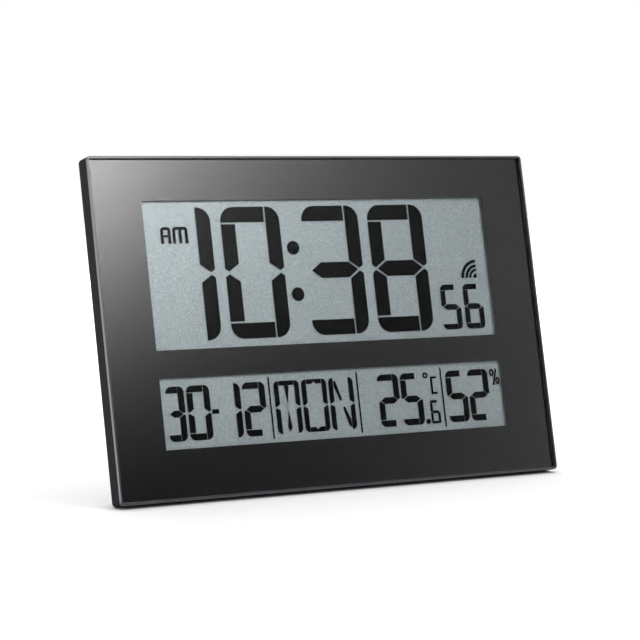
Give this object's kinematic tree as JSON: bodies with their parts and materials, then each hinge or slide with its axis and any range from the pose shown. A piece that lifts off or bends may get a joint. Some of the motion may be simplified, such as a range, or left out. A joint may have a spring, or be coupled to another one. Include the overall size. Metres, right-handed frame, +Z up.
{
  "type": "digital wall clock",
  "caption": "Wide flat digital clock with a black rim, glossy front and two liquid crystal windows, leaning on a fold-out leg.",
  "frame": {"origin": "on the floor under the middle of the footprint, with the clock leaning on its open leg", "axes": "+Z up, +X to the right seen from the front, front towards -Y"},
  "size_m": [0.37, 0.0808, 0.2429],
  "materials": {
    "black_abs": "fine satin moulding",
    "clear_acrylic": "polished",
    "black_print": "gloss print",
    "display_glass": "polished",
    "display_ink": "smooth",
    "display_reflector": "fine grained",
    "circuit_board": "solder mask",
    "white_abs": "moulded",
    "chip_epoxy": "cast",
    "bright_steel": "nickel plated",
    "dark_steel": "black zinc",
    "ferrite": "sintered",
    "copper_wire": "enamelled",
    "battery_case": "printed sleeve",
    "grey_rubber": "matt",
    "pale_rubber": "matt",
    "red_wire": "smooth",
    "black_wire": "smooth"
  },
  "bodies": {
    "clock": {"front_frame": "black_abs", "rear_cover": "black_abs", "front_lens": "clear_acrylic", "lens_mask": "black_print", "time_lcd_front_glass": "display_glass", "time_lcd_rear_glass": "display_glass", "time_lcd_segments": "display_ink", "time_lcd_reflector": "display_reflector", "time_zebra_strip": "grey_rubber", "calendar_lcd_front_glass": "display_glass", "calendar_lcd_rear_glass": "display_glass", "calendar_lcd_segments": "display_ink", "calendar_lcd_reflector": "display_reflector", "calendar_zebra_strip": "grey_rubber", "display_board": "circuit_board", "main_board": "circuit_board", "button_board": "circuit_board", "display_carrier": "white_abs", "antenna_clip_left": "white_abs", "antenna_clip_right": "white_abs", "climate_sensor": "white_abs", "clock_chip": "chip_epoxy", "supply_capacitor": "chip_epoxy", "clock_crystal": "bright_steel", "stand_pin": "bright_steel", "battery_plus_contact": "bright_steel", "battery_minus_contact": "bright_steel", "battery_bridge_contact": "bright_steel", "cover_screw_1": "dark_steel", "cover_screw_2": "dark_steel", "cover_screw_3": "dark_steel", "cover_screw_4": "dark_steel", "cover_screw_5": "dark_steel", "cover_screw_6": "dark_steel", "carrier_screw_1": "dark_steel", "carrier_screw_2": "dark_steel", "carrier_screw_3": "dark_steel", "carrier_screw_4": "dark_steel", "board_screw_1": "dark_steel", "board_screw_2": "dark_steel", "ferrite_rod": "ferrite", "antenna_coil": "copper_wire", "antenna_lead": "copper_wire", "display_ribbon": "copper_wire", "button_ribbon": "copper_wire", "battery_upper": "battery_case", "battery_lower": "battery_case", "button_keypad": "pale_rubber", "battery_lead_red": "red_wire", "battery_lead_black": "black_wire"},
    "stand": {"stand": "black_abs", "stand_foot_pad": "grey_rubber"},
    "battery_door": {"battery_door": "black_abs"},
    "button_set": {"button_set": "grey_rubber"},
    "button_up": {"button_up": "grey_rubber"},
    "button_down": {"button_down": "grey_rubber"},
    "button_wave": {"button_wave": "grey_rubber"},
    "button_zone": {"button_zone": "grey_rubber"},
    "button_unit": {"button_unit": "grey_rubber"}
  },
  "joints": [
    {"name": "stand_hinge", "type": "hinge", "parent": "clock", "child": "stand", "pos_m": [0, 0.01345, 0.12311], "axis": [1, 0, 0], "range_deg": [-23.55, 0]},
    {"name": "battery_door_slide", "type": "slide", "parent": "clock", "child": "battery_door", "axis": [1, 0, 0], "range_m": [0, 0.072]},
    {"name": "button_set_press", "type": "slide", "parent": "clock", "child": "button_set", "axis": [0, -0.9767, 0.2147], "range_m": [0, 0.0008], "stiffness_N_per_m": 600, "springref_m": -0.0005},
    {"name": "button_up_press", "type": "slide", "parent": "clock", "child": "button_up", "axis": [0, -0.9767, 0.2147], "range_m": [0, 0.0008], "stiffness_N_per_m": 600, "springref_m": -0.0005},
    {"name": "button_down_press", "type": "slide", "parent": "clock", "child": "button_down", "axis": [0, -0.9767, 0.2147], "range_m": [0, 0.0008], "stiffness_N_per_m": 600, "springref_m": -0.0005},
    {"name": "button_wave_press", "type": "slide", "parent": "clock", "child": "button_wave", "axis": [0, -0.9767, 0.2147], "range_m": [0, 0.0008], "stiffness_N_per_m": 600, "springref_m": -0.0005},
    {"name": "button_zone_press", "type": "slide", "parent": "clock", "child": "button_zone", "axis": [0, -0.9767, 0.2147], "range_m": [0, 0.0008], "stiffness_N_per_m": 600, "springref_m": -0.0005},
    {"name": "button_unit_press", "type": "slide", "parent": "clock", "child": "button_unit", "axis": [0, -0.9767, 0.2147], "range_m": [0, 0.0008], "stiffness_N_per_m": 600, "springref_m": -0.0005}
  ]
}
